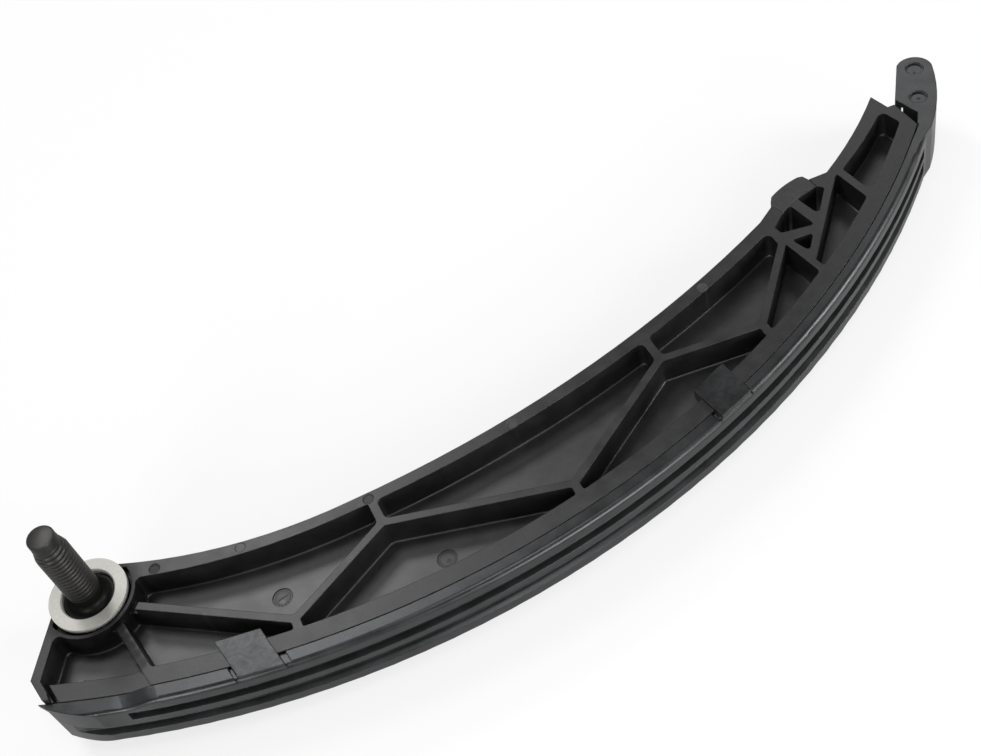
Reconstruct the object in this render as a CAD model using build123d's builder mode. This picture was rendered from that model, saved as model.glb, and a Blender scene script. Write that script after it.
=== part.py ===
from build123d import *
import math
import os

os.makedirs("parts", exist_ok=True)

# Frame: the pivot axis is Z, the bush face that meets the engine block is z = 0 and the
# threaded end of the bolt points to +Z. The rail runs from the pivot towards +X, with its
# hollow side towards +Y and its chain side towards -Y. All sizes in millimetres.

# Levels across the rail.
rail_front = -0.6
rail_width = 19.2
rail_back = rail_front - rail_width
pocket_depth = 9.3
web_thick = 2.2
web_front = rail_front - pocket_depth
web_back = web_front - web_thick
end_recess = 2.1

# The seam between carrier and liner is one long arc.
seam_x = 105.0
seam_low = -54.9
seam_r = 289.5
seam_y = seam_low + seam_r
flange_thick = 5.6

# Pivot: boss, steel bush and the play on the bolt's shoulder.
shoulder_r = 8.0
running_gap = 0.05
bush_bore_r = shoulder_r + running_gap
bush_sleeve_r = 10.3
bush_flange_r = 12.0
bush_flange_thick = 1.6
bush_proud = 0.6
boss_r = bush_flange_r
boss_wall_r = 14.3
boss_groove_width = 1.2
boss_groove_depth = 2.2
boss_groove_margin = 1.2
rib_relief_reach = 2.4
rib_relief_depth = 2.6
counterbore_depth = bush_flange_thick - bush_proud
bore_chamfer = 0.4

# Pivot bolt, head at the back and plain point at the front.
shoulder_end = -1.5
thread_r = 5.0
neck_r = 4.5
neck_flare = 2.6
thread_start = 3.4
thread_end = 23.6
point_r = 4.1
point_start = 27.9
bolt_tip = 31.3
thread_runout = 0.6
point_chamfer = 0.5
head_gap = 0.1
head_flange_r = 12.6
head_flange_thick = 2.4
hex_across_flats = 16.0
hex_height = 6.4
hex_chamfer = 1.2

# Carrier ribs and pockets.
rib_width = 2.4
post_width = 2.7
post_reach = 12.0
pocket_corner_r = 1.8
small_corner_r = 0.7
cell_corner_r = 0.9
floor_fillet = 0.6
narrow_pocket = 15.8
floor_mark_r = 3.0
flange_mark_r = 1.6
mark_depth = 0.3
faint_mark_depth = 0.15
end_slit_width = 1.2
end_slit_depth = 7.0

# Chain liner: section, near end, far end and clips. Its outer face is an arc of its own.
lip_thick = 4.8
lip_taper = 1.3
chain_x = seam_x - lip_taper
chain_r = seam_r + lip_thick
lip_round = 1.2
lip_width = 4.1
groove_depth = 2.1
front_groove_slope = 1.8
back_groove_slope = 0.8
ridge_width = 2.2
ridge_shift = 0.4
ridge_slope = 0.3
liner_start_x = -27.0
liner_end_x = 298.5
front_groove_x = -0.6
groove_end_x = 296.5
ramp_foot_x = -1.0
ramp_top_x = 9.5
ear_thick = 2.0
seam_line_width = 0.25
seam_line_depth = 0.7
toe_line_x = 284.0
toe_line_width = 0.6
tongue_start_x = 297.0
tongue_gap = 0.4
tongue_wall = 1.8
clip_prouds = [0.9, 1.6]
clip_edge_inset = 2.2
clip_reach = 3.4
back_clip_centres = [104.0, 256.0]
back_clip_width = 13.6
hook_drop = 2.6
hook_gap = 0.05
slot_widths = [(1.0, 2.0), (1.2, 0.8)]
slot_depth = 0.9
slot_gap = 0.1
slot_start = 0.66
slot_overrun = 0.8
cutter_margin = 20.0

# Plan points near the pivot, as x and y.
wall_top = (-12.0, -1.2)
near_wall_top = (-11.8, -6.2)
hollow_start = (10.9, 5.4)
boss_edge_start = (13.2, -1.6)
boss_rib_start = (8.6, -9.0)
boss_post_top = (5.1, -12.6)

# All the other plan points are an x and a distance inwards from the seam.
# Carrier outline, corner by corner.
wall_corner = (-22.4, 6.2)
heel = (-20.8, 0.0)
toe = (298.8, 0.0)
toe_top = (298.5, 9.1)
horn_foot = (296.2, 10.9)
horn = (294.8, 17.3)
horn_arc_mid = (279.0, 19.0)
horn_arc_start = (263.4, 21.4)
pad_right = (257.2, 25.6)
pad_left = (241.3, 31.8)
hollow_end = (234.4, 31.9)
hollow_mid = (157.0, 40.2)
hollow_join = (79.7, 40.7)
hollow_start_mid = (42.0, 39.8)

# Inside edges of the pockets.
near_wall_mid = (-19.5, 6.6)
near_pocket_x = -18.5
far_pocket_x = 295.1
far_wall_top = (293.3, 12.8)
far_edge_mid = (281.0, 14.7)
far_edge_start = (267.6, 17.3)
inner_flange_near = 3.7
inner_flange_mid = 4.2
inner_flange_far = 4.4
boss_edge_mid = (47.0, 35.7)
end_slit_top = (-19.3, 6.5)
end_slit_foot = (-17.6, -0.5)
low_flange_x = -19.0

# Points where the ribs meet.
node_a = (51.6, 8.7)
node_b = (85.2, 29.0)
node_c = (138.4, 9.1)
node_d = (180.7, 25.5)
node_e = (212.6, 9.2)
node_f = (235.4, 21.4)
zigzag_end = (237.5, 22.5)
side_brace_top = (236.2, 25.3)
node_g = (239.3, 4.8)
brace_foot = (238.7, 10.0)
brace_run = 23.5
brace_rise = 25.2
boss_post_foot = (9.8, 1.7)
far_post_top = (266.7, 18.8)
far_post_foot = (268.9, 2.5)

# Round pin marks left by the mould: on two pocket floors, on the inner flange, on the tongue.
floor_marks = [(50.0, 23.2), (97.1, 14.4)]
flange_marks = [(20.2, 37.6), (45.4, 37.9), (84.7, 38.6), (132.4, 38.2), (205.5, 32.9)]
tongue_marks = [(314.2, 5.5), (306.8, 2.2)]

# Near end of the liner: a pointed ear at the front, then a rounded nose.
ear_tip = (-23.1, 0.1)
nose_start = (-21.0, -1.7)
nose_mid = (-15.5, -3.95)
nose_end = (-8.0, -5.4)
body_start = (-21.8, 0.5)

# Tongue beyond the far end of the carrier, and the slit in its foot.
tongue_foot = (302.3, 0.9)
tongue_waist = (300.2, 9.3)
tongue_shoulder = (310.3, 11.4)
tongue_crown = (317.5, 6.2)
tongue_side = (319.3, -0.3)
tongue_side_mid = (313.9, -3.1)
tongue_corner = (302.2, -4.7)
tongue_root = (294.0, -2.9)
tongue_slit_start = (299.8, 6.6)
tongue_slit_end = (304.0, 7.0)
tongue_slit_width = 0.7

# Contact pad for the tensioner plunger, and the openings under it.
pad_chamfer = 0.3
arch_left = (242.5, 27.1)
arch_mid = (250.4, 25.4)
arch_right = (257.5, 22.1)
pad_side = (257.2, 25.8)
pad_shoulder = (256.4, 28.2)
pad_crown_right = (255.0, 29.5)
pad_crown_mid = (248.6, 32.5)
pad_crown_left = (243.4, 33.8)
pad_lip = (241.9, 32.9)
cell_a = [(236.9, 26.7), (237.4, 23.7), (247.7, 15.9), (246.0, 26.6), (241.8, 27.2)]
cell_b = [(249.4, 25.7), (257.5, 22.1), (259.0, 19.6), (251.8, 16.9), (250.8, 18.4)]
cell_c = [(238.2, 19.5), (245.4, 14.8), (240.2, 12.3)]

# Corners of the front clips: two on the flange, two on the lip.
front_clips = [
    [(28.9, 8.4), (42.0, 8.7), (44.4, -4.6), (31.6, -4.5)],
    [(182.6, 8.6), (194.5, 8.9), (196.2, -4.0), (184.7, -3.9)],
]


def seam_point(x, inset=0.0):
    """Plan point at x on the arc parallel to the seam, inset towards the hollow side."""
    reach = seam_r - inset
    return (x, seam_y - math.sqrt(reach**2 - (x - seam_x) ** 2))


def placed(*points):
    """Plan positions of points given by x and by distance inwards from the seam."""
    return [seam_point(x, inset) for x, inset in points]


def nearer(point, drop):
    """The point moved towards the seam."""
    return (point[0], point[1] - drop)


def at_any(vertex, others):
    return any(vertex.distance_to(other) < 0.01 for other in others)


def roomy_corners(plan, radius):
    """Corners whose two sides are both long enough for the radius."""
    short = [v for e in plan.edges() if e.length < 2.4 * radius for v in e.vertices()]
    return [v for v in plan.vertices() if not at_any(v, short)]


def carrier_outline():
    """Plan shape of the moulded carrier without its boss."""
    with BuildSketch() as plan:
        with BuildLine():
            Polyline(wall_top, *placed(wall_corner, heel))
            ThreePointArc(*placed(heel, (seam_x, 0.0), toe))
            Polyline(*placed(toe, toe_top, horn_foot, horn))
            ThreePointArc(*placed(horn, horn_arc_mid, horn_arc_start))
            Polyline(*placed(horn_arc_start, pad_right, pad_left, hollow_end))
            ThreePointArc(*placed(hollow_end, hollow_mid, hollow_join))
            ThreePointArc(*placed(hollow_join, hollow_start_mid), hollow_start)
            Line(hollow_start, wall_top)
        make_face()
    return plan.sketch


def pad_outline():
    """Plan shape of the contact pad, with its arched underside."""
    with BuildSketch() as plan:
        with BuildLine():
            ThreePointArc(*placed(arch_left, arch_mid, arch_right))
            Polyline(*placed(arch_right, pad_side, pad_shoulder, pad_crown_right))
            ThreePointArc(*placed(pad_crown_right, pad_crown_mid, pad_crown_left))
            Polyline(*placed(pad_crown_left, pad_lip, pad_left, arch_left))
        make_face()
    return plan.sketch


def brace_line():
    """Ends of the slanting rib that carries the near side of the openings."""
    foot = Vector(*seam_point(*brace_foot))
    return foot, foot + Vector(brace_run, brace_rise)


def pocket_field():
    """Plan shape of all the pockets with a floor, the ribs already taken out."""
    near_corner = (near_pocket_x, flange_thick)
    far_corner = (far_pocket_x, flange_thick)
    hollow_far = (node_f[0], hollow_end[1] - inner_flange_far)
    hollow_near = nearer(hollow_join, inner_flange_near)
    brace_low, brace_high = brace_line()
    with BuildSketch() as plan:
        with BuildLine():
            Polyline(near_wall_top, *placed(near_wall_mid, near_corner))
            ThreePointArc(*placed(near_corner, (seam_x, flange_thick), far_corner))
            Line(*placed(far_corner, far_wall_top))
            ThreePointArc(*placed(far_wall_top, far_edge_mid, far_edge_start))
            Polyline(*placed(far_edge_start), brace_high, brace_low, *placed(node_f, hollow_far))
            ThreePointArc(*placed(hollow_far, nearer(hollow_mid, inner_flange_mid), hollow_near))
            ThreePointArc(*placed(hollow_near, boss_edge_mid), boss_edge_start)
            Line(boss_edge_start, near_wall_top)
        make_face()
        Circle(boss_wall_r, mode=Mode.SUBTRACT)
        with BuildLine(mode=Mode.PRIVATE) as zigzag:
            Polyline(boss_rib_start, *placed(node_a, node_b, node_c, node_d, node_e, zigzag_end))
            Line(*placed(side_brace_top, node_g))
            Line(brace_low, brace_high + (brace_high - brace_low).normalized() * rib_width)
        trace(zigzag.line, rib_width, mode=Mode.SUBTRACT)
        with BuildLine(mode=Mode.PRIVATE) as posts:
            Line(boss_post_top, *placed(boss_post_foot))
            Line(*placed(far_post_top, far_post_foot))
            for node in (node_a, node_c, node_e, node_g):
                Line(*placed(node, (node[0], 0.0)))
            for node in (node_b, node_d, node_f):
                Line(*placed(node, nearer(node, -post_reach)))
        trace(posts.line, post_width, mode=Mode.SUBTRACT)
        # a corner beside a short side gets the small radius
        large = roomy_corners(plan, pocket_corner_r)
        small = [v for v in roomy_corners(plan, small_corner_r) if not at_any(v, large)]
        fillet(small, small_corner_r)
        fillet([v for v in plan.vertices() if at_any(v, large)], pocket_corner_r)
    return plan.sketch


def cells():
    """Plan shape of the three openings that go right through below the pad."""
    with BuildSketch() as plan:
        for corners in (cell_a, cell_b, cell_c):
            with BuildLine():
                Polyline(*placed(*corners), close=True)
            make_face()
        fillet(plan.vertices(), cell_corner_r)
    return plan.sketch


def lowered_end():
    """Part of the outer flange, left of the first post, that lies lower than the rest."""
    top, foot = Vector(*boss_post_top), Vector(*seam_point(*boss_post_foot))
    along = (foot - top).normalized()
    side = along.rotate(Axis.Z, -90) * (post_width / 2)
    round_top = flange_thick + pocket_corner_r
    with BuildSketch() as plan:
        with BuildLine():
            Polyline(
                *placed((low_flange_x, -flange_thick), (low_flange_x, flange_thick)),
                *placed((near_pocket_x + pocket_corner_r, round_top)),
                foot + side - along * round_top,
                foot + side + along * flange_thick,
                close=True,
            )
        make_face()
    return plan.sketch


def pin_marks(points, radius):
    """Plan shape of a set of round marks."""
    with BuildSketch() as plan:
        with Locations(*placed(*points)):
            Circle(radius)
    return plan.sketch


def rib_relief():
    """Where the two ribs that start at the boss are cut lower, next to it."""
    with BuildSketch() as plan:
        add(slit(boss_rib_start, seam_point(*node_a), 2 * post_width))
        add(slit(boss_post_top, seam_point(*boss_post_foot), 2 * post_width))
        Circle(boss_wall_r + rib_relief_reach, mode=Mode.INTERSECT)
        Circle(boss_wall_r, mode=Mode.SUBTRACT)
    return plan.sketch


def slit(start, end, width):
    """Narrow straight slot between two points."""
    with BuildSketch() as plan:
        with BuildLine(mode=Mode.PRIVATE) as middle:
            Line(start, end)
        trace(middle.line, width)
    return plan.sketch


with BuildPart() as carrier:
    with BuildSketch(Plane.XY.offset(rail_back)):
        add(carrier_outline())
        Circle(boss_r)
    extrude(amount=rail_width)
    with BuildSketch(Plane.XY.offset(rail_front)):
        add(pocket_field())
    extrude(amount=-pocket_depth, mode=Mode.SUBTRACT)
    with BuildSketch(Plane.XY.offset(rail_back)):
        add(pocket_field())
    extrude(amount=rail_width - pocket_depth - web_thick, mode=Mode.SUBTRACT)
    # inside bottom corners of the larger pockets are rounded, as on any moulding
    for level in (web_front, web_back):
        flat_faces = carrier.faces().filter_by(Plane.XY)
        floors = flat_faces.filter_by(lambda f: abs(f.center().Z - level) < web_thick / 10)
        middles = [f.center() for f in floors if f.area > narrow_pocket**2]
        for middle in middles:
            floor = carrier.faces().filter_by(Plane.XY).sort_by_distance(middle)[0]
            fillet(floor.edges(), floor_fillet)
    with BuildSketch(Plane.XY.offset(rail_back)):
        add(cells())
        add(pad_outline())
    extrude(amount=rail_width, mode=Mode.SUBTRACT)
    with BuildSketch(Plane.XY.offset(rail_front)):
        add(lowered_end())
    extrude(amount=-end_recess, mode=Mode.SUBTRACT)
    with BuildSketch(Plane.XY.offset(rail_front)):
        add(slit(*placed(end_slit_top, end_slit_foot), end_slit_width))
    extrude(amount=-end_slit_depth, mode=Mode.SUBTRACT)
    with BuildSketch(Plane.XY.offset(rail_front)):
        add(rib_relief())
    extrude(amount=-rib_relief_depth, mode=Mode.SUBTRACT)
    with BuildSketch(Plane.XY.offset(web_front)):
        add(pin_marks(floor_marks, floor_mark_r))
    extrude(amount=-mark_depth, mode=Mode.SUBTRACT)
    with BuildSketch(Plane.XY.offset(rail_front)):
        add(pin_marks(flange_marks, flange_mark_r))
    extrude(amount=-faint_mark_depth, mode=Mode.SUBTRACT)
    with BuildSketch(Plane.XY.offset(rail_back)):
        Circle(bush_sleeve_r)
    extrude(amount=rail_width, mode=Mode.SUBTRACT)
    with BuildSketch(Plane.XY.offset(rail_front)):
        Circle(bush_flange_r)
    extrude(amount=-counterbore_depth, mode=Mode.SUBTRACT)
    # a groove round the bush flange, deeper than its seat, that stops short of the outline
    with BuildSketch(Plane.XY.offset(rail_front)):
        Circle(bush_flange_r + boss_groove_width)
        Circle(bush_flange_r, mode=Mode.SUBTRACT)
        offset(carrier_outline(), -boss_groove_margin, mode=Mode.INTERSECT)
    extrude(amount=-boss_groove_depth, mode=Mode.SUBTRACT)

with BuildPart() as contact_pad:
    with BuildSketch(Plane.XY.offset(rail_back)):
        add(pad_outline())
    extrude(amount=rail_width)
    for face in contact_pad.faces().filter_by(Plane.XY):
        chamfer(face.edges(), pad_chamfer)

chain_axis = Axis((chain_x, seam_y, 0), (0, 0, 1))


def chain_angle(x):
    """Angle from straight down, about the centre of the chain face, of its point at x."""
    return math.asin((x - chain_x) / chain_r)


def chain_plane(x):
    """Plane across the liner at x; its own x runs outwards from the centre and its y along +Z."""
    a = chain_angle(x)
    return Plane(
        origin=(chain_x, seam_y, 0),
        x_dir=(math.sin(a), -math.cos(a), 0),
        z_dir=(-math.cos(a), -math.sin(a), 0),
    )


def chain_sweep(start_x, end_x):
    """Degrees about the centre of the chain face from one x to another."""
    return math.degrees(chain_angle(end_x) - chain_angle(start_x))


def front_outer_edges(piece):
    """Edges where the front of the liner meets its outer face."""
    low = rail_front - end_recess - ear_thick / 2
    high = [e for e in piece.edges() if (e @ 0.5).Z > low]
    centre = Vector(chain_x, seam_y)
    return [e for e in high if abs((Vector((e @ 0.5).X, (e @ 0.5).Y) - centre).length - chain_r) < 0.01]


rail_mid = (rail_front + rail_back) / 2
lip_inner_front = rail_front - lip_width
lip_inner_back = rail_back + lip_width
ridge_front = rail_mid + ridge_shift + ridge_width / 2
ridge_back = rail_mid + ridge_shift - ridge_width / 2
ear_level = rail_front - end_recess - ear_thick

with BuildPart() as liner:
    # strip of even section, a little deeper than it ends up
    with BuildSketch(chain_plane(liner_start_x)) as section:
        with BuildLine():
            Polyline(
                (chain_r - 2 * lip_thick, rail_front),
                (chain_r, rail_front),
                (chain_r, rail_back),
                (chain_r - 2 * lip_thick, rail_back),
                close=True,
            )
        make_face()
        fillet(section.vertices().group_by(Axis.X)[-1].sort_by(Axis.Y)[0], lip_round)
    revolve(axis=chain_axis, revolution_arc=chain_sweep(liner_start_x, liner_end_x))
    # the seam with the carrier, and a fine line beside it at the front
    with BuildSketch(Plane.XY.offset(rail_back)):
        with Locations((seam_x, seam_y)):
            Circle(seam_r)
    extrude(amount=rail_width, mode=Mode.SUBTRACT)
    # rounded nose at the near end
    left_of_all = liner_start_x - cutter_margin
    with BuildSketch(Plane.XY.offset(rail_back)):
        with BuildLine():
            Polyline(*placed(ear_tip, nose_start))
            ThreePointArc(*placed(nose_start, nose_mid, nose_end))
            Polyline(
                *placed(nose_end, nearer(nose_end, cutter_margin)),
                *placed((left_of_all, -cutter_margin), (left_of_all, ear_tip[1]), ear_tip),
            )
        make_face()
    extrude(amount=rail_width, mode=Mode.SUBTRACT)
    # the near end lies lower on the front side, with a soft ramp up to the rest
    with BuildSketch(Plane.XZ.offset(cutter_margin)):
        with BuildLine():
            Spline(
                (ramp_foot_x, rail_front - end_recess),
                (ramp_top_x, rail_front),
                tangents=((1, 0), (1, 0)),
            )
            Polyline(
                (ramp_top_x, rail_front),
                (ramp_top_x, rail_front + lip_round),
                (left_of_all, rail_front + lip_round),
                (left_of_all, rail_front - end_recess),
                (ramp_foot_x, rail_front - end_recess),
            )
        make_face()
    extrude(amount=2 * cutter_margin, mode=Mode.SUBTRACT)
    fillet(front_outer_edges(liner), lip_round)
    # behind the ear the body starts a little later
    with BuildSketch(Plane.XY.offset(rail_back)):
        with BuildLine():
            Polyline(
                *placed(body_start, nose_start, nearer(nose_start, cutter_margin)),
                *placed((left_of_all, body_start[1])),
                close=True,
            )
        make_face()
    extrude(amount=ear_level - rail_back, mode=Mode.SUBTRACT)
    # fine line between liner and carrier, wider at the far end
    with BuildSketch(Plane.XY.offset(rail_front)):
        with Locations((seam_x, seam_y)):
            Circle(seam_r + seam_line_width)
    extrude(amount=-end_recess - seam_line_depth, mode=Mode.SUBTRACT)
    # tongue beyond the far end of the carrier
    with BuildSketch(Plane.XY.offset(rail_back)):
        tongue_top = (toe[0] + tongue_gap, 0.0)
        tongue_start = (tongue_start_x, 0.0)
        with BuildLine():
            Polyline(*placed(tongue_top, tongue_foot, tongue_waist, tongue_shoulder))
            ThreePointArc(*placed(tongue_shoulder, tongue_crown, tongue_side))
            ThreePointArc(*placed(tongue_side, tongue_side_mid, tongue_corner))
            Polyline(*placed(tongue_corner, tongue_root, tongue_start))
            ThreePointArc(*placed(tongue_start, (tongue_start_x + tongue_gap, 0.0), tongue_top))
        make_face()
    extrude(amount=rail_width)
    # it is a shell, open at the back, with a slit in its foot
    with BuildSketch(Plane.XY.offset(rail_back)):
        shell_foot = nearer(tongue_foot, -tongue_side_mid[1])
        with BuildLine():
            Polyline(*placed(tongue_foot, tongue_waist, tongue_shoulder))
            ThreePointArc(*placed(tongue_shoulder, tongue_crown, tongue_side))
            ThreePointArc(*placed(tongue_side, tongue_side_mid, shell_foot))
            Line(*placed(shell_foot, tongue_foot))
        make_face()
        offset(amount=-tongue_wall)
        add(slit(*placed(tongue_slit_start, tongue_slit_end), tongue_slit_width))
    extrude(amount=rail_width - tongue_wall, mode=Mode.SUBTRACT)
    with BuildSketch(Plane.XY.offset(rail_front)):
        add(pin_marks(tongue_marks, floor_mark_r))
    extrude(amount=-mark_depth, mode=Mode.SUBTRACT)
    with BuildSketch(Plane.XY.offset(rail_back)):
        with BuildLine():
            Polyline(
                *placed((toe_line_x, 0.0), (tongue_top[0], -toe_line_width)),
                *placed((tongue_top[0], toe_line_width), (toe_line_x, toe_line_width)),
                close=True,
            )
        make_face()
    extrude(amount=rail_width, mode=Mode.SUBTRACT)
    # two grooves in the chain face
    for start_x, lip_side, lip_foot, ridge_side, ridge_foot in (
        (
            front_groove_x,
            lip_inner_front,
            lip_inner_front - front_groove_slope,
            ridge_front,
            ridge_front + ridge_slope,
        ),
        (
            liner_start_x,
            lip_inner_back,
            lip_inner_back + back_groove_slope,
            ridge_back,
            ridge_back - ridge_slope,
        ),
    ):
        with BuildSketch(chain_plane(start_x)):
            with BuildLine():
                Polyline(
                    (chain_r + lip_round, lip_side),
                    (chain_r + lip_round, ridge_side),
                    (chain_r, ridge_side),
                    (chain_r - groove_depth, ridge_foot),
                    (chain_r - groove_depth, lip_foot),
                    (chain_r, lip_side),
                    close=True,
                )
            make_face()
        revolve(axis=chain_axis, revolution_arc=chain_sweep(start_x, groove_end_x), mode=Mode.SUBTRACT)
    # front clips that lie over the carrier's flange and hook behind it
    for corners, proud, widths in zip(front_clips, clip_prouds, slot_widths):
        outline = placed(*corners)
        with BuildSketch(Plane.XY.offset(rail_front)):
            with BuildLine():
                Polyline(*outline, close=True)
            make_face()
        extrude(amount=proud)
        with BuildSketch(Plane.XY.offset(rail_front)):
            with BuildLine():
                Polyline(*outline, close=True)
            make_face()
            with Locations((seam_x, seam_y)):
                Circle(seam_r - flange_thick - hook_gap, mode=Mode.INTERSECT)
        extrude(amount=-hook_drop)
        # the lip is square, not rounded, under the clip
        with BuildSketch(Plane.XY.offset(rail_front)):
            with BuildLine():
                Polyline(*outline, close=True)
            make_face()
            with Locations((seam_x, seam_y)):
                Circle(seam_r + lip_round, mode=Mode.SUBTRACT)
        extrude(amount=-lip_round)
        for top, foot, side, width in (
            (outline[0], outline[3], -1, widths[0]),
            (outline[1], outline[2], 1, widths[1]),
        ):
            shift = Vector(side * (width / 2 + slot_gap), 0)
            slot_top = Vector(*top) + (Vector(*foot) - Vector(*top)) * slot_start + shift
            slot_foot = Vector(*foot) + shift - Vector(0, slot_overrun)
            with BuildSketch(Plane.XY.offset(rail_front)):
                add(slit(slot_top, slot_foot, width))
            extrude(amount=-slot_depth, mode=Mode.SUBTRACT)
    # back clips, between the front ones
    for centre_x in back_clip_centres:
        half = back_clip_width / 2
        clip_face = chain_r - clip_edge_inset
        flange_edge = math.dist(seam_point(centre_x, flange_thick + hook_gap), (chain_x, seam_y))
        with BuildSketch(chain_plane(centre_x - half)):
            with BuildLine():
                Polyline(
                    (flange_edge - clip_reach, rail_back - clip_prouds[0]),
                    (clip_face, rail_back - clip_prouds[0]),
                    (clip_face, rail_back),
                    (flange_edge, rail_back),
                    (flange_edge, rail_back + hook_drop),
                    (flange_edge - clip_reach, rail_back + hook_drop),
                    close=True,
                )
            make_face()
        revolve(axis=chain_axis, revolution_arc=chain_sweep(centre_x - half, centre_x + half))

with BuildPart() as bush:
    with BuildSketch(Plane.XZ):
        with BuildLine():
            Polyline(
                (bush_bore_r + bore_chamfer, 0),
                (bush_flange_r, 0),
                (bush_flange_r, -bush_flange_thick),
                (bush_sleeve_r, -bush_flange_thick),
                (bush_sleeve_r, rail_back - bush_proud),
                (bush_bore_r + bore_chamfer, rail_back - bush_proud),
                (bush_bore_r, rail_back - bush_proud + bore_chamfer),
                (bush_bore_r, -bore_chamfer),
                close=True,
            )
        make_face()
    revolve(axis=Axis.Z)

head_seat = rail_back - bush_proud - head_gap

with BuildPart() as bolt:
    with BuildSketch(Plane.XZ):
        with BuildLine():
            Polyline(
                (0, bolt_tip),
                (point_r - point_chamfer, bolt_tip),
                (point_r, bolt_tip - point_chamfer),
                (point_r, point_start),
                (thread_r, thread_end),
                (thread_r, thread_start),
                (neck_r, thread_start - thread_runout),
                (neck_r, shoulder_end + neck_flare),
            )
            RadiusArc(
                (neck_r, shoulder_end + neck_flare),
                (neck_r + neck_flare, shoulder_end),
                -neck_flare,
            )
            Polyline(
                (neck_r + neck_flare, shoulder_end),
                (shoulder_r - bore_chamfer, shoulder_end),
                (shoulder_r, shoulder_end - bore_chamfer),
                (shoulder_r, head_seat),
                (head_flange_r, head_seat),
                (head_flange_r, head_seat - head_flange_thick),
                (0, head_seat - head_flange_thick),
                (0, bolt_tip),
            )
        make_face()
    revolve(axis=Axis.Z)
    with BuildSketch(Plane.XY.offset(head_seat - head_flange_thick)):
        RegularPolygon(hex_across_flats / 2, 6, major_radius=False)
    extrude(amount=-hex_height)
    chamfer(bolt.faces().sort_by(Axis.Z)[0].edges(), length=hex_chamfer / 2, length2=hex_chamfer)

pieces = {
    "carrier": carrier,
    "liner": liner,
    "contact_pad": contact_pad,
    "bush": bush,
    "bolt": bolt,
}
for name, piece in pieces.items():
    piece.part.label = name
    export_step(piece.part, f"parts/{name}.step")
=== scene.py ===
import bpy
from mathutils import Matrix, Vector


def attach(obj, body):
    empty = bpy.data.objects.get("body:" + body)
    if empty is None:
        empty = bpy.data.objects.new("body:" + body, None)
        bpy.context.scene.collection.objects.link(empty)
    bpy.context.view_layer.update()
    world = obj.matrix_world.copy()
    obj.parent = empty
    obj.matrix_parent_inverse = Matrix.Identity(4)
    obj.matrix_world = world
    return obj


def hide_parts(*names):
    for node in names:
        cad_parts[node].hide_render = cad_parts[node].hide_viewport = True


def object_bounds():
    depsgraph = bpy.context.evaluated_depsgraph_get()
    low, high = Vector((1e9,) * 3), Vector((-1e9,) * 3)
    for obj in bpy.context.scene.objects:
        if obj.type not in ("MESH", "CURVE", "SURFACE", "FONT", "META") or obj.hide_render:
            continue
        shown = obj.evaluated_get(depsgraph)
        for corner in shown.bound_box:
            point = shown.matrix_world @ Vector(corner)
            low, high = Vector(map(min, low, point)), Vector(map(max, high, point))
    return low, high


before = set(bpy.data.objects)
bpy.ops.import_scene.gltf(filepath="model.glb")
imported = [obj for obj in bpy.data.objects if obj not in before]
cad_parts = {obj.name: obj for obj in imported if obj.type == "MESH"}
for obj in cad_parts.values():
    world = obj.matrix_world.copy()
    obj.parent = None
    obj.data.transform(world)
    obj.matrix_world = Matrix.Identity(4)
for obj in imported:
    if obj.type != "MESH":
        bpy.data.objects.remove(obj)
cad_box = [list(corner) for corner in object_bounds()]

import math

import bmesh
import bpy
from mathutils import Matrix, Vector

# The table and the light: white paper in a pale room. Soft boxes behind the part give its sheen,
# one above the camera draws the bright lines in the pockets' corners, and three low ones light
# the near end, the chain side and the liner's rounded edge.
MM = 0.001
TABLE_Z = cad_box[0][2] - 0.05 * MM
TABLE_HALF = 3.0
TABLE_WHITE = "#EFEFEF"
TABLE_BOUNCE = "#BCBCBC"
FLOOR_GLOW = 0.72
MIRRORED_GLOW = 0.4
ROOM_WHITE = "#FFFFFF"
ROOM_LEVEL = 0.22
AIM = (0.12, -0.01, 0.0)
LAMP_DISTANCE = 1.1
LAMPS = (
    # name, degrees round from +X, degrees up, side in metres, watts
    ("key_box", 125, 66, 0.30, 2.7),
    ("sheen_box", 100, 48, 0.22, 2.6),
    ("far_end_box", 48, 34, 0.30, 0.8),
    ("line_box", 285, 70, 0.25, 2.2),
    ("front_box", 290, 8, 0.60, 10.0),
    ("left_box", 225, 20, 0.40, 5.0),
    ("right_box", 336, 24, 0.35, 6.0),
)
CAMERA_PLACE = (0.08097, -0.26660, 0.32525)
CAMERA_RIGHT = (0.88577, -0.41764, -0.20246)
CAMERA_UP = (0.44695, 0.65000, 0.61460)
CAMERA_LENS = 51.36
CAMERA_SENSOR = 36.0
CAMERA_NEAR = 0.01


def linear(colour):
    """Linear RGBA from an sRGB hex colour."""
    parts = [int(colour[i:i + 2], 16) / 255 for i in (1, 3, 5)]
    return [p / 12.92 if p <= 0.04045 else ((p + 0.055) / 1.055) ** 2.4 for p in parts] + [1.0]


def add_node(tree, kind, sockets=None, **settings):
    """Add a node with its settings, and link or fill its sockets, given by name or number."""
    node = tree.nodes.new(kind)
    for name, value in settings.items():
        setattr(node, name, value)
    for name, source in (sockets or {}).items():
        if isinstance(source, bpy.types.NodeSocket):
            tree.links.new(source, node.inputs[name])
        else:
            node.inputs[name].default_value = source
    return node


def new_material(name):
    material = bpy.data.materials.new(name)
    material.use_nodes = True
    material.node_tree.nodes.clear()
    return material, material.node_tree


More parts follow.
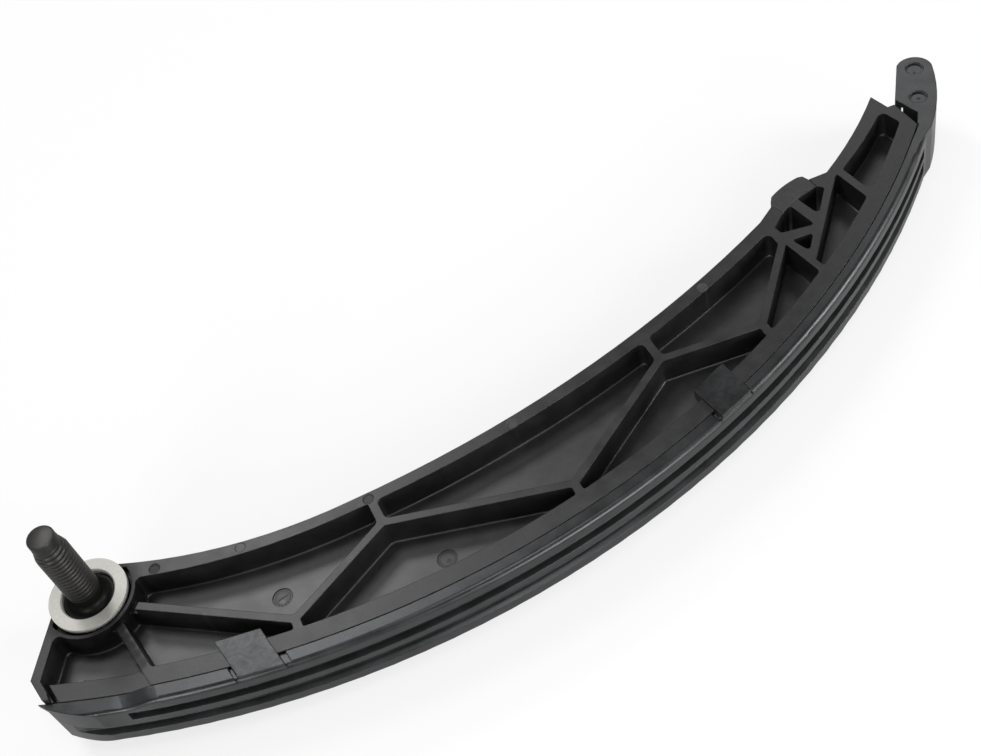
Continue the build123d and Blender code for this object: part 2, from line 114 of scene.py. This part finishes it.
# The camera sees paper that glows towards white. Other rays see a greyer card, so that it throws
# less light up on the part, and a part of the glow shows in what is glossy.
sweep_paint, tree = new_material("white_sweep_paper")
rays = add_node(tree, "ShaderNodeLightPath")
seen = add_node(tree, "ShaderNodeMath", {
    0: rays.outputs["Is Camera Ray"], 1: FLOOR_GLOW,
}, operation="MULTIPLY")
seen_or_mirrored = add_node(tree, "ShaderNodeMath", {
    0: rays.outputs["Is Glossy Ray"], 1: MIRRORED_GLOW, 2: seen.outputs[0],
}, operation="MULTIPLY_ADD")
card = add_node(tree, "ShaderNodeMix", {
    0: rays.outputs["Is Camera Ray"], 6: linear(TABLE_BOUNCE), 7: linear(TABLE_WHITE),
}, data_type="RGBA")
paper = add_node(tree, "ShaderNodeBsdfDiffuse", {"Color": card.outputs[2]})
glow = add_node(tree, "ShaderNodeEmission", {"Color": linear("#FFFFFF"), "Strength": 1.0})
mixed = add_node(tree, "ShaderNodeMixShader", {
    0: seen_or_mirrored.outputs[0], 1: paper.outputs[0], 2: glow.outputs[0],
})
add_node(tree, "ShaderNodeOutputMaterial", {"Surface": mixed.outputs[0]})

sweep_mesh = bpy.data.meshes.new("sweep")
corner_signs = ((-1, -1), (1, -1), (1, 1), (-1, 1))
corners = [(x * TABLE_HALF, y * TABLE_HALF, TABLE_Z) for x, y in corner_signs]
sweep_mesh.from_pydata(corners, [], [(0, 1, 2, 3)])
sweep_mesh.materials.append(sweep_paint)
sweep = bpy.data.objects.new("sweep", sweep_mesh)
bpy.context.scene.collection.objects.link(sweep)

world = bpy.data.worlds.new("studio_room")
world.use_nodes = True
world.node_tree.nodes.clear()
bpy.context.scene.world = world
rays = add_node(world.node_tree, "ShaderNodeLightPath")
level = add_node(world.node_tree, "ShaderNodeMapRange", {
    "Value": rays.outputs["Is Camera Ray"], "To Min": ROOM_LEVEL, "To Max": 1.0,
})
room = add_node(world.node_tree, "ShaderNodeBackground", {
    "Color": linear(ROOM_WHITE), "Strength": level.outputs[0],
})
add_node(world.node_tree, "ShaderNodeOutputWorld", {"Surface": room.outputs[0]})

for name, round_from_x, raised, side, watts in LAMPS:
    a, b = math.radians(round_from_x), math.radians(raised)
    towards = Vector((math.cos(a) * math.cos(b), math.sin(a) * math.cos(b), math.sin(b)))
    lamp = bpy.data.lights.new(name, "AREA")
    lamp.size = side
    lamp.energy = watts
    light = bpy.data.objects.new(name, lamp)
    light.location = Vector(AIM) + towards * LAMP_DISTANCE
    light.rotation_euler = towards.to_track_quat("Z", "Y").to_euler()
    bpy.context.scene.collection.objects.link(light)

lens = bpy.data.cameras.new("camera")
lens.lens = CAMERA_LENS
lens.sensor_width = CAMERA_SENSOR
lens.clip_start = CAMERA_NEAR
right = Vector(CAMERA_RIGHT).normalized()
back = right.cross(Vector(CAMERA_UP)).normalized()
up = back.cross(right)
turned = Matrix((right, up, back)).transposed().to_4x4()
camera = bpy.data.objects.new("camera", lens)
camera.matrix_world = Matrix.Translation(CAMERA_PLACE) @ turned
bpy.context.scene.collection.objects.link(camera)
bpy.context.scene.camera = camera
bpy.context.scene.view_settings.view_transform = "Standard"

# The carrier: one black moulding of glass-filled nylon, with open pockets from both sides. Short
# fibres near the skin leave it satin and slightly cloudy, its edges are softly rounded, and the
# mould's pins and gate left round spots, some darker and some lighter than the skin. The darker
# spots round the boss and down the rib below it are painted shade, and the pockets' floors are
# painted light.
NYLON_IOR = 1.53
CARRIER_DARK = "#0C0C0D"
CARRIER_LIGHT = "#161617"
CARRIER_ROUGHNESS = 0.42
CARRIER_CLOUD = 7.0 * MM
# The glass fibres are about a hundredth of a millimetre thick. Their grain is drawn coarser, to show.
FIBRE_GRAIN = 0.45 * MM
FIBRE_HEIGHT = 0.03 * MM
EDGE_SOFTNESS = 0.30 * MM
EDGE_SAMPLES = 6
GRAIN_STRENGTH = 0.5
# How far the clouds change the roughness, and how the grain and the clouds change the sheen.
CLOUD_LOW = 0.3
CLOUD_HIGH = 0.7
GLOSSIER = 0.05
DULLER = 0.06
PLAIN_SHEEN = 0.45
GRAIN_SHEEN = 0.5
CLOUD_SHEEN = 0.6
SHINE_OF_SHEEN = 0.5
# The spots are kept to the front. They fade out between these heights, in the middle of the web.
SPOTS_END = -11.2 * MM
SPOTS_FULL = -10.8 * MM
# Painted light: what lies deep in the pockets is painted a little lighter than the rim.
FLOORS_FROM = -7.0 * MM
FLOORS_FULL = -9.0 * MM
FLOORS_PAINTED_LIGHTER = 0.35
STAMP_X, STAMP_Y = 50.0, -26.0
STAMP_BAR_STEP_X, STAMP_BAR_STEP_Y = 0.45, 0.05
STAMP_BAR_DROP = 0.05
STAMP_DASHES = 16
STAMP_DASH_R = 2.4
CARRIER_SPOTS_AND_PAINTED_SHADE = [
    # x, y, radius and softness in mm, and how much darker (-) or lighter (+)
    # the boss, darkened with painted shade
    (0.0, 0.0, 15.0, 5.0, -0.6),
    # down the short rib below the boss, darkened with painted shade
    (5.4, -16.5, 2.0, 1.2, -0.7),
    (5.9, -20.0, 2.0, 1.2, -0.65),
    (6.6, -23.5, 2.0, 1.2, -0.6),
    (7.3, -27.0, 2.0, 1.2, -0.55),
    (8.0, -30.5, 2.0, 1.2, -0.45),
    # the pin marks along the inner flange
    (20.3, -2.2, 1.8, 0.3, -0.55),
    (45.5, -9.9, 1.8, 0.4, 0.06),
    (84.7, -15.2, 1.8, 0.3, -0.35),
    (132.3, -14.5, 1.8, 0.4, 0.3),
    (205.5, -1.1, 1.7, 0.3, 0.8),
    # a pale patch with a dark dot in the near pocket, and one on the long rib
    (-12.0, -20.1, 0.9, 0.4, 0.5),
    (-10.4, -20.4, 0.35, 0.2, -0.9),
    (28.9, -25.6, 0.8, 0.5, 0.3),
    # the round stamp in the second pocket
    (STAMP_X, STAMP_Y, 2.8, 0.9, -0.45),
    (STAMP_X, STAMP_Y, 1.5, 0.6, -0.25),
    (49.6, -27.2, 0.8, 0.5, 0.1),
    # the ring in the third pocket
    (97.1, -40.4, 2.8, 0.5, -0.55),
    (97.1, -40.4, 2.0, 0.5, -0.15),
    (97.3, -41.2, 0.8, 0.5, -0.55),
]
# The stamp has a bar of seven dots across it, and short dashes round it.
for k in range(-3, 4):
    x, y = STAMP_X + STAMP_BAR_STEP_X * k, STAMP_Y - STAMP_BAR_DROP + STAMP_BAR_STEP_Y * k
    CARRIER_SPOTS_AND_PAINTED_SHADE.append((x, y, 0.3, 0.25, -0.85))
for k in range(STAMP_DASHES):
    a = math.radians(360 / STAMP_DASHES * k)
    x, y = STAMP_X + STAMP_DASH_R * math.cos(a), STAMP_Y + STAMP_DASH_R * math.sin(a)
    CARRIER_SPOTS_AND_PAINTED_SHADE.append((x, y, 0.3, 0.3, -0.8))


def painted_spots(tree, place, spots):
    """Round spots on the front, each laid over the ones before: -1 is dark, 0 plain, 1 light."""
    flat = add_node(tree, "ShaderNodeVectorMath", {
        0: place, 1: (1.0, 1.0, 0.0),
    }, operation="MULTIPLY")
    tone = 0.0
    for x, y, radius, soft, level in spots:
        away = add_node(tree, "ShaderNodeVectorMath", {
            0: flat.outputs[0], 1: (x * MM, y * MM, 0.0),
        }, operation="DISTANCE")
        inside = add_node(tree, "ShaderNodeMapRange", {
            "Value": away.outputs["Value"],
            "From Min": (radius - soft / 2) * MM,
            "From Max": (radius + soft / 2) * MM,
            "To Min": 1.0,
            "To Max": 0.0,
        })
        tone = add_node(tree, "ShaderNodeMix", {
            0: inside.outputs[0], 2: tone, 3: level,
        }, data_type="FLOAT").outputs[0]
    height = add_node(tree, "ShaderNodeSeparateXYZ", {0: place})
    front = add_node(tree, "ShaderNodeMapRange", {
        "Value": height.outputs["Z"], "From Min": SPOTS_END, "From Max": SPOTS_FULL,
    })
    return add_node(tree, "ShaderNodeMath", {
        0: tone, 1: front.outputs[0],
    }, operation="MULTIPLY").outputs[0]


def carrier_marks_and_painted_shade(tree, place):
    """The marks that the mould left on the carrier, with painted shade round the boss and down its
    rib.
    """
    return painted_spots(tree, place, CARRIER_SPOTS_AND_PAINTED_SHADE)


def painted_light_on_floors(tree, place):
    """How much painted light lifts the pockets' floors, by their depth below the rim."""
    height = add_node(tree, "ShaderNodeSeparateXYZ", {0: place})
    return add_node(tree, "ShaderNodeMapRange", {
        "Value": height.outputs["Z"],
        "From Min": FLOORS_FROM,
        "From Max": FLOORS_FULL,
        "To Max": FLOORS_PAINTED_LIGHTER,
    }).outputs[0]


def clouded(tree, place, size, detail, roughness, dark, light):
    """Noise with clouds of one size, and the colour that drifts with it from dark to light."""
    clouds = add_node(tree, "ShaderNodeTexNoise", {
        "Vector": place, "Scale": 1 / size, "Detail": detail, "Roughness": roughness,
    }).outputs["Fac"]
    colour = add_node(tree, "ShaderNodeMix", {
        0: clouds, 6: linear(dark), 7: linear(light),
    }, data_type="RGBA")
    return clouds, colour.outputs[2]


def moulded_nylon(name, dark, light, rough, cloud, edge, grain_height,
                  marks=(), tint="#FFFFFF", rounded=None):
    """Nylon as it leaves the mould: cloudy colour, uneven gloss, fine grain, soft edges, marks, and
    any painted light passed in with the marks.
    """
    material, tree = new_material(name)
    place = add_node(tree, "ShaderNodeTexCoord").outputs["Object"]
    clouds, colour = clouded(tree, place, cloud, detail=4.0, roughness=0.6, dark=dark, light=light)
    grain = add_node(tree, "ShaderNodeTexNoise", {
        "Vector": place, "Scale": 1 / FIBRE_GRAIN, "Detail": 3.0, "Roughness": 0.6,
    }).outputs["Fac"]
    gloss = add_node(tree, "ShaderNodeMapRange", {
        "Value": clouds,
        "From Min": CLOUD_LOW,
        "From Max": CLOUD_HIGH,
        "To Min": rough - GLOSSIER,
        "To Max": rough + DULLER,
    })
    facing = add_node(tree, "ShaderNodeBevel", {"Radius": edge}, samples=EDGE_SAMPLES).outputs[0]
    if rounded:
        facing = rounded(tree, place, facing)
    bump = add_node(tree, "ShaderNodeBump", {
        "Strength": GRAIN_STRENGTH, "Distance": grain_height, "Height": grain, "Normal": facing,
    })
    # The sheen changes the colour and the reflections together, as a thinner or thicker skin does.
    # The marks added to it can also carry painted shade and painted light.
    sheen = add_node(tree, "ShaderNodeMath", {
        0: grain, 1: GRAIN_SHEEN, 2: PLAIN_SHEEN,
    }, operation="MULTIPLY_ADD")
    sheen = add_node(tree, "ShaderNodeMath", {
        0: clouds, 1: CLOUD_SHEEN, 2: sheen.outputs[0],
    }, operation="MULTIPLY_ADD")
    for mark in marks:
        sheen = add_node(tree, "ShaderNodeMath", {
            0: sheen.outputs[0], 1: mark(tree, place),
        }, operation="ADD")
    shaded = add_node(tree, "ShaderNodeVectorMath", {
        0: colour, "Scale": sheen.outputs[0],
    }, operation="SCALE")
    shine = add_node(tree, "ShaderNodeMath", {
        0: sheen.outputs[0], 1: SHINE_OF_SHEEN,
    }, operation="MULTIPLY")
    skin = add_node(tree, "ShaderNodeBsdfPrincipled", {
        "Base Color": shaded.outputs[0],
        "Roughness": gloss.outputs[0],
        "IOR": NYLON_IOR,
        "Specular IOR Level": shine.outputs[0],
        "Specular Tint": linear(tint),
        "Normal": bump.outputs[0],
    })
    add_node(tree, "ShaderNodeOutputMaterial", {"Surface": skin.outputs[0]})
    return material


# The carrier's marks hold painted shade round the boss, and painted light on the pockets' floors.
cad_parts["carrier"].data.materials[0] = moulded_nylon(
    "glass_filled_nylon", CARRIER_DARK, CARRIER_LIGHT, CARRIER_ROUGHNESS, CARRIER_CLOUD,
    EDGE_SOFTNESS, FIBRE_HEIGHT, marks=(carrier_marks_and_painted_shade, painted_light_on_floors))

# The liner: a strip of plain nylon for the chain to run on, clipped over the carrier's outer
# flange. It has no fibres, so it is smoother than the carrier and its front edge shows a
# glossier line. The clips show the swirls of the last plastic that flowed into them. Its near
# end and ramp carry painted shade and painted light, and its tongue's marks painted shadow.
LINER_DARK = "#101010"
LINER_LIGHT = "#1B1C1D"
LINER_SHEEN = "#FAFCFF"
LINER_ROUGHNESS = 0.34
LINER_CLOUD = 9.0 * MM
LINER_EDGE = 0.4 * MM
LINER_GRAIN_HEIGHT = 0.008 * MM
LINER_SPOTS_AND_PAINTED_LIGHT = [
    # x, y, radius and softness in mm, and how much darker (-) or lighter (+)
    # the two round marks on the tongue, each a dark arc of painted shadow at the far side of its
    # shallow dish, with a dot in it
    (314.2, 42.6, 2.6, 0.4, -0.9),
    (313.8, 41.9, 2.4, 0.4, 0.0),
    (313.1, 40.9, 0.5, 0.5, -0.6),
    (306.8, 30.1, 2.6, 0.4, -0.9),
    (306.4, 29.4, 2.4, 0.4, 0.0),
    (306.5, 29.5, 0.6, 0.6, -0.7),
    # painted shade on the near end, and painted light on the ramp beside it
    (-13.0, -32.5, 12.0, 9.0, -0.25),
    (3.5, -37.3, 5.0, 5.0, 0.35),
]
# Only the clips stand above z = 0. Their swirls are darker than the skin where the noise is below
# the even value.
CLIPS_FULL = 0.2 * MM
CLIP_CHANGE = 0.8
SWIRL_SIZE = 4.5 * MM
SWIRL_EVEN = 0.72
# The front edge follows the arc of the chain face, from just past the ramp to the tongue. It is
# shaded as if its rounding were LIP_ROUND wide, half as wide again as the real one.
CHAIN_CENTRE = (103.7 * MM, 234.6 * MM, 0.0)
CHAIN_R = 294.3 * MM
LIP_ROUND = 1.8 * MM
LIP_FRONT = -0.6 * MM
LIP_SLACK = 1.03
ROUND_FROM_X = 9.6 * MM
ROUND_TO_X = 290.0 * MM


def liner_marks_and_painted_light(tree, place):
    """The marks that the mould left on the liner, with painted shade and painted light on its near
    end and tongue.
    """
    return painted_spots(tree, place, LINER_SPOTS_AND_PAINTED_LIGHT)


def clip_swirls(tree, place):
    """Flow marks on the two front clips."""
    flow = add_node(tree, "ShaderNodeTexNoise", {
        "Vector": place, "Scale": 1 / SWIRL_SIZE, "Detail": 3.0, "Roughness": 0.5, "Distortion": 2.0,
    })
    height = add_node(tree, "ShaderNodeSeparateXYZ", {0: place})
    raised = add_node(tree, "ShaderNodeMapRange", {
        "Value": height.outputs["Z"], "From Min": 0.0, "From Max": CLIPS_FULL, "To Max": CLIP_CHANGE,
    })
    swirl = add_node(tree, "ShaderNodeMath", {
        0: flow.outputs["Fac"], 1: SWIRL_EVEN,
    }, operation="SUBTRACT")
    return add_node(tree, "ShaderNodeMath", {
        0: swirl.outputs[0], 1: raised.outputs[0],
    }, operation="MULTIPLY").outputs[0]


def even_round(tree, place, normal):
    """Even normals on the long rounded front edge, so that its highlight runs without a break."""
    arm = add_node(tree, "ShaderNodeVectorMath", {0: place, 1: CHAIN_CENTRE}, operation="SUBTRACT")
    flat = add_node(tree, "ShaderNodeVectorMath", {
        0: arm.outputs[0], 1: (1.0, 1.0, 0.0),
    }, operation="MULTIPLY")
    outwards = add_node(tree, "ShaderNodeVectorMath", {0: flat.outputs[0]}, operation="NORMALIZE")
    radius = add_node(tree, "ShaderNodeVectorMath", {0: flat.outputs[0]}, operation="LENGTH")
    beyond = add_node(tree, "ShaderNodeMath", {
        0: radius.outputs["Value"], 1: CHAIN_R - LIP_ROUND,
    }, operation="SUBTRACT")
    parts = add_node(tree, "ShaderNodeSeparateXYZ", {0: place})
    above = add_node(tree, "ShaderNodeMath", {
        0: parts.outputs["Z"], 1: LIP_FRONT - LIP_ROUND,
    }, operation="SUBTRACT")
    side = add_node(tree, "ShaderNodeVectorMath", {
        0: outwards.outputs[0], "Scale": beyond.outputs[0],
    }, operation="SCALE")
    rise = add_node(tree, "ShaderNodeCombineXYZ", {"Z": above.outputs[0]})
    total = add_node(tree, "ShaderNodeVectorMath", {
        0: side.outputs[0], 1: rise.outputs[0],
    }, operation="ADD")
    even = add_node(tree, "ShaderNodeVectorMath", {0: total.outputs[0]}, operation="NORMALIZE")
    on_edge = 1.0
    for value, operation, limit in (
        (beyond.outputs[0], "GREATER_THAN", 0.0),
        (above.outputs[0], "GREATER_THAN", 0.0),
        (above.outputs[0], "LESS_THAN", LIP_SLACK * LIP_ROUND),
        (parts.outputs["X"], "GREATER_THAN", ROUND_FROM_X),
        (parts.outputs["X"], "LESS_THAN", ROUND_TO_X),
    ):
        test = add_node(tree, "ShaderNodeMath", {0: value, 1: limit}, operation=operation)
        on_edge = add_node(tree, "ShaderNodeMath", {
            0: on_edge, 1: test.outputs[0],
        }, operation="MULTIPLY").outputs[0]
    return add_node(tree, "ShaderNodeMix", {
        0: on_edge, 4: normal, 5: even.outputs[0],
    }, data_type="VECTOR").outputs[1]


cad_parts["liner"].data.materials[0] = moulded_nylon(
    "plain_nylon", LINER_DARK, LINER_LIGHT, LINER_ROUGHNESS, LINER_CLOUD, LINER_EDGE,
    LINER_GRAIN_HEIGHT, marks=(liner_marks_and_painted_light, clip_swirls), tint=LINER_SHEEN, rounded=even_round)

# The contact pad: a small block of dark moulded nylon, set into the carrier, that the plunger
# pushes on. Its skin is a shade lighter and more mottled than the carrier round it.
PAD_DARK = "#1B1B1A"
PAD_LIGHT = "#2A2A29"
PAD_ROUGHNESS = 0.5
PAD_CLOUD = 2.5 * MM
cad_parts["contact_pad"].data.materials[0] = moulded_nylon(
    "pad_nylon", PAD_DARK, PAD_LIGHT, PAD_ROUGHNESS, PAD_CLOUD, EDGE_SOFTNESS, FIBRE_HEIGHT)

# The bush: a turned steel sleeve with a flange, pressed into the boss. Its face is a bright warm
# grey with a fine mottle from the bar and faint turning rings.
BUSH_DARK = "#A8A7A2"
BUSH_LIGHT = "#C6C5BF"
# The dull turned face looks paler and flatter than bare bright steel, so it is only partly metallic.
BUSH_METALLIC = 0.7
BUSH_ROUGHNESS = 0.6
BAR_MOTTLE = 0.9 * MM
# A lathe leaves rings about a tenth of a millimetre apart. They are drawn wider apart, to show.
TURNING_PITCH = 0.35 * MM
RING_SHARE = 0.25
RING_STRENGTH = 0.4
RING_HEIGHT = 0.01 * MM


def from_axis(tree, place):
    """Distance of a place from the pivot axis."""
    flat = add_node(tree, "ShaderNodeVectorMath", {
        0: place, 1: (1.0, 1.0, 0.0),
    }, operation="MULTIPLY")
    length = add_node(tree, "ShaderNodeVectorMath", {0: flat.outputs[0]}, operation="LENGTH")
    return length.outputs["Value"]


bush_steel, tree = new_material("turned_steel")
place = add_node(tree, "ShaderNodeTexCoord").outputs["Object"]
mottle, colour = clouded(tree, place, BAR_MOTTLE, detail=5.0, roughness=0.65,
                         dark=BUSH_DARK, light=BUSH_LIGHT)
turns = add_node(tree, "ShaderNodeMath", {
    0: from_axis(tree, place), 1: 2 * math.pi / TURNING_PITCH,
}, operation="MULTIPLY")
rings = add_node(tree, "ShaderNodeMath", {0: turns.outputs[0]}, operation="SINE")
marks = add_node(tree, "ShaderNodeMath", {
    0: rings.outputs[0], 1: RING_SHARE, 2: mottle,
}, operation="MULTIPLY_ADD")
bump = add_node(tree, "ShaderNodeBump", {
    "Strength": RING_STRENGTH, "Distance": RING_HEIGHT, "Height": marks.outputs[0],
})
steel = add_node(tree, "ShaderNodeBsdfPrincipled", {
    "Base Color": colour,
    "Metallic": BUSH_METALLIC,
    "Roughness": BUSH_ROUGHNESS,
    "Normal": bump.outputs[0],
})
add_node(tree, "ShaderNodeOutputMaterial", {"Surface": steel.outputs[0]})
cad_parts["bush"].data.materials[0] = bush_steel

# The pivot bolt: headed and rolled from steel wire, with a dark phosphate coat. Its shank has an
# M10 thread, a plain point and a neck that flares into the shoulder, and its head is a flanged
# hexagon. The coat is worn at the thread's crests. Its tip's end is painted lighter as painted
# light, and it is painted darker down in the bush as painted shade in the hollow.
PITCH = 1.5 * MM
THREAD_R = 5.08 * MM
# The turns look shallow under the coat, and are drawn less deep than a clean thread's.
THREAD_DEPTH = 0.24 * MM
THREAD_FROM = 3.4 * MM
THREAD_TO = 27.7 * MM
FULL_THREAD = 23.6 * MM
RUN_OUT = 1.5 * MM
RUN_OUT_HEIGHT = 0.35
CREST_HEIGHT = 1.25
FLANK_SLOPE = 2.6
POINT_R = 4.08 * MM
POINT_FROM = 27.9 * MM
TIP_Z = 31.3 * MM
# The point's rounded end, in mm down from the tip and in from its side, and its foot on the
# thread, in mm up from where it starts and out from its side.
POINT_END = ((0.0, 0.5), (0.15, 0.18), (0.5, 0.0))
POINT_FOOT = ((0.3, 0.0), (0.0, 0.1))
NECK_R = 4.86 * MM
NECK_DROP = 0.4 * MM
FLARE = 2.6 * MM
FLARE_STEPS = 8
SHOULDER_R = 8.0 * MM
SHOULDER_TOP = -1.5 * MM
SHOULDER_BEVEL = 0.4 * MM
SEAT_Z = -20.5 * MM
FLANGE_R = 12.6 * MM
FLANGE_RIM = 1.2 * MM
FLANGE_ROUND = 0.3 * MM
FLANGE_BEVEL = 0.4 * MM
FLANGE_THICK = 2.4 * MM
FLANGE_FOOT = 1.9 * MM
ACROSS_FLATS = 16.0 * MM
HEAD_END = cad_box[0][2]
HEAD_BEVEL = 0.4 * MM
HEAD_BEVEL_FROM = 0.8
HEAD_SHARES = (0.0, 0.5, HEAD_BEVEL_FROM, 0.85, 0.9, 0.95, 1.0)
AROUND = 96
ROWS_A_TURN = 12
SHARP_DEGREES = 32


def thread_radius(angle, z):
    """Radius of the rolled thread, which fades out at both ends."""
    turn = (z / PITCH - angle / (2 * math.pi)) % 1.0
    height = min(1.0, max(0.0, CREST_HEIGHT - FLANK_SLOPE * abs(turn - 0.5)))
    fade = max(0.0, min(1.0, (z - THREAD_FROM) / RUN_OUT, (THREAD_TO - z) / RUN_OUT))
    cone = max(0.0, z - FULL_THREAD) / (THREAD_TO - FULL_THREAD)
    crest = THREAD_R + (POINT_R - THREAD_R) * cone
    return crest - THREAD_DEPTH * (1 - height * (RUN_OUT_HEIGHT + (1 - RUN_OUT_HEIGHT) * fade))


def hexagon_radius(angle, limit):
    """Radius of a hexagon, cut down to a round of the given radius at its corners."""
    side = (angle + math.pi / 6) % (math.pi / 3) - math.pi / 6
    return min(ACROSS_FLATS / 2 / math.cos(side), limit)


# Rows of (radius, height) pairs go round the bolt, one below the other, from its tip to its head.
angles = [2 * math.pi * k / AROUND for k in range(AROUND)]
rows = []
for down, inset in POINT_END:
    rows.append([(POINT_R - inset * MM, TIP_Z - down * MM)] * AROUND)
for above, outset in POINT_FOOT:
    rows.append([(POINT_R + outset * MM, POINT_FROM + above * MM)] * AROUND)
count = round((THREAD_TO - THREAD_FROM) / PITCH * ROWS_A_TURN)
for i in range(count + 1):
    z = THREAD_TO + (THREAD_FROM - THREAD_TO) * i / count
    rows.append([(thread_radius(angle, z), z) for angle in angles])
rows.append([(NECK_R, THREAD_FROM - NECK_DROP)] * AROUND)
for i in range(FLARE_STEPS + 1):
    a = math.radians(90 * i / FLARE_STEPS)
    r, z = NECK_R + FLARE * (1 - math.cos(a)), SHOULDER_TOP + FLARE * (1 - math.sin(a))
    rows.append([(r, z)] * AROUND)
for z, r in (
    (SHOULDER_TOP, SHOULDER_R - SHOULDER_BEVEL),
    (SHOULDER_TOP - SHOULDER_BEVEL, SHOULDER_R),
    (SEAT_Z, SHOULDER_R),
    (SEAT_Z, FLANGE_R - FLANGE_ROUND),
    (SEAT_Z - FLANGE_ROUND, FLANGE_R),
    (SEAT_Z - FLANGE_RIM + FLANGE_ROUND, FLANGE_R),
    (SEAT_Z - FLANGE_RIM, FLANGE_R - FLANGE_BEVEL),
    (SEAT_Z - FLANGE_THICK, ACROSS_FLATS / 2 + FLANGE_FOOT),
):
    rows.append([(r, z)] * AROUND)
corner_r = ACROSS_FLATS / 2 / math.cos(math.pi / 6)
head_top = SEAT_Z - FLANGE_THICK
for share in HEAD_SHARES:
    bevelled = max(0.0, share - HEAD_BEVEL_FROM) / (1 - HEAD_BEVEL_FROM)
    limit = corner_r - bevelled * (corner_r - ACROSS_FLATS / 2 + HEAD_BEVEL)
    z = head_top + (HEAD_END - head_top) * share
    rows.append([(hexagon_radius(angle, limit), z) for angle in angles])

shape = bmesh.new()
loops = []
for row in rows:
    loops.append([
        shape.verts.new((r * math.cos(angle), r * math.sin(angle), z))
        for angle, (r, z) in zip(angles, row)
    ])
for upper, lower in zip(loops, loops[1:]):
    for k in range(AROUND):
        n = (k + 1) % AROUND
        shape.faces.new((upper[k], lower[k], lower[n], upper[n]))
for loop, z in ((loops[0], TIP_Z), (loops[-1], HEAD_END)):
    middle = shape.verts.new((0.0, 0.0, z))
    for k in range(AROUND):
        shape.faces.new((middle, loop[k], loop[(k + 1) % AROUND]))
bmesh.ops.recalc_face_normals(shape, faces=shape.faces)
for face in shape.faces:
    face.smooth = True
bolt_mesh = bpy.data.meshes.new("pivot_bolt")
shape.to_mesh(bolt_mesh)
shape.free()
bolt_mesh.set_sharp_from_angle(angle=math.radians(SHARP_DEGREES))
pivot_bolt = bpy.data.objects.new("pivot_bolt", bolt_mesh)
bpy.context.scene.collection.objects.link(pivot_bolt)

PHOSPHATE_DARK = "#1B1B1A"
PHOSPHATE_LIGHT = "#2C2B29"
# The coat is crystals over steel, which gives a dark, soft sheen.
PHOSPHATE_METALLIC = 0.5
PHOSPHATE_ROUGHNESS = 0.42
# The crystals are too fine to see. Their mottle is drawn at about a millimetre, to show.
PHOSPHATE_MOTTLE = 1.2 * MM
MOTTLE_STRENGTH = 0.35
MOTTLE_HEIGHT = 0.05 * MM
WORN_CREST = "#353431"
CREST_WEAR = 0.8
CREST_TOP = 0.05 * MM
ABOVE_THREAD = 0.1 * MM
# Painted light: the tip's end face and its rounding are painted lighter.
TIP_PAINTED_LIGHT = "#32312E"
TIP_LIGHT_BAND = 0.35 * MM
# Painted shade: the coat's colour and reflections are painted darker from the upper height down to
# the lower, where the bolt goes into the bush's hollow.
HOLLOW_SHADE_FROM = 1.0 * MM
HOLLOW_SHADE_TO = 12.0 * MM
HOLLOW_SHADE_LEVEL = 0.3
COAT_SHINE = 0.5
phosphate, tree = new_material("phosphated_steel")
place = add_node(tree, "ShaderNodeTexCoord").outputs["Object"]
mottle, colour = clouded(tree, place, PHOSPHATE_MOTTLE, detail=6.0, roughness=0.7,
                         dark=PHOSPHATE_DARK, light=PHOSPHATE_LIGHT)
radius = from_axis(tree, place)
crest = add_node(tree, "ShaderNodeMapRange", {
    "Value": radius,
    "From Min": THREAD_R - THREAD_DEPTH,
    "From Max": THREAD_R + CREST_TOP,
    "To Max": CREST_WEAR,
})
on_thread = add_node(tree, "ShaderNodeMath", {
    0: radius, 1: THREAD_R + ABOVE_THREAD,
}, operation="LESS_THAN")
wear = add_node(tree, "ShaderNodeMath", {
    0: crest.outputs[0], 1: on_thread.outputs[0],
}, operation="MULTIPLY")
worn = add_node(tree, "ShaderNodeMix", {
    0: wear.outputs[0], 6: colour, 7: linear(WORN_CREST),
}, data_type="RGBA")
height = add_node(tree, "ShaderNodeSeparateXYZ", {0: place}).outputs["Z"]
# Painted light on the tip's end.
tip = add_node(tree, "ShaderNodeMapRange", {
    "Value": height, "From Min": TIP_Z - TIP_LIGHT_BAND, "From Max": TIP_Z,
})
with_tip_light = add_node(tree, "ShaderNodeMix", {
    0: tip.outputs[0], 6: worn.outputs[2], 7: linear(TIP_PAINTED_LIGHT),
}, data_type="RGBA")
# Painted shade in the bush's hollow.
painted_hollow_shade = add_node(tree, "ShaderNodeMapRange", {
    "Value": height, "From Min": HOLLOW_SHADE_FROM, "From Max": HOLLOW_SHADE_TO, "To Min": HOLLOW_SHADE_LEVEL,
})
shaded = add_node(tree, "ShaderNodeVectorMath", {
    0: with_tip_light.outputs[2], "Scale": painted_hollow_shade.outputs[0],
}, operation="SCALE")
shine = add_node(tree, "ShaderNodeMath", {0: painted_hollow_shade.outputs[0], 1: COAT_SHINE}, operation="MULTIPLY")
bump = add_node(tree, "ShaderNodeBump", {
    "Strength": MOTTLE_STRENGTH, "Distance": MOTTLE_HEIGHT, "Height": mottle,
})
coat = add_node(tree, "ShaderNodeBsdfPrincipled", {
    "Base Color": shaded.outputs[0],
    "Metallic": PHOSPHATE_METALLIC,
    "Roughness": PHOSPHATE_ROUGHNESS,
    "Specular IOR Level": shine.outputs[0],
    "Normal": bump.outputs[0],
})
add_node(tree, "ShaderNodeOutputMaterial", {"Surface": coat.outputs[0]})
bolt_mesh.materials.append(phosphate)
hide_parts("bolt")
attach(pivot_bolt, "bolt")
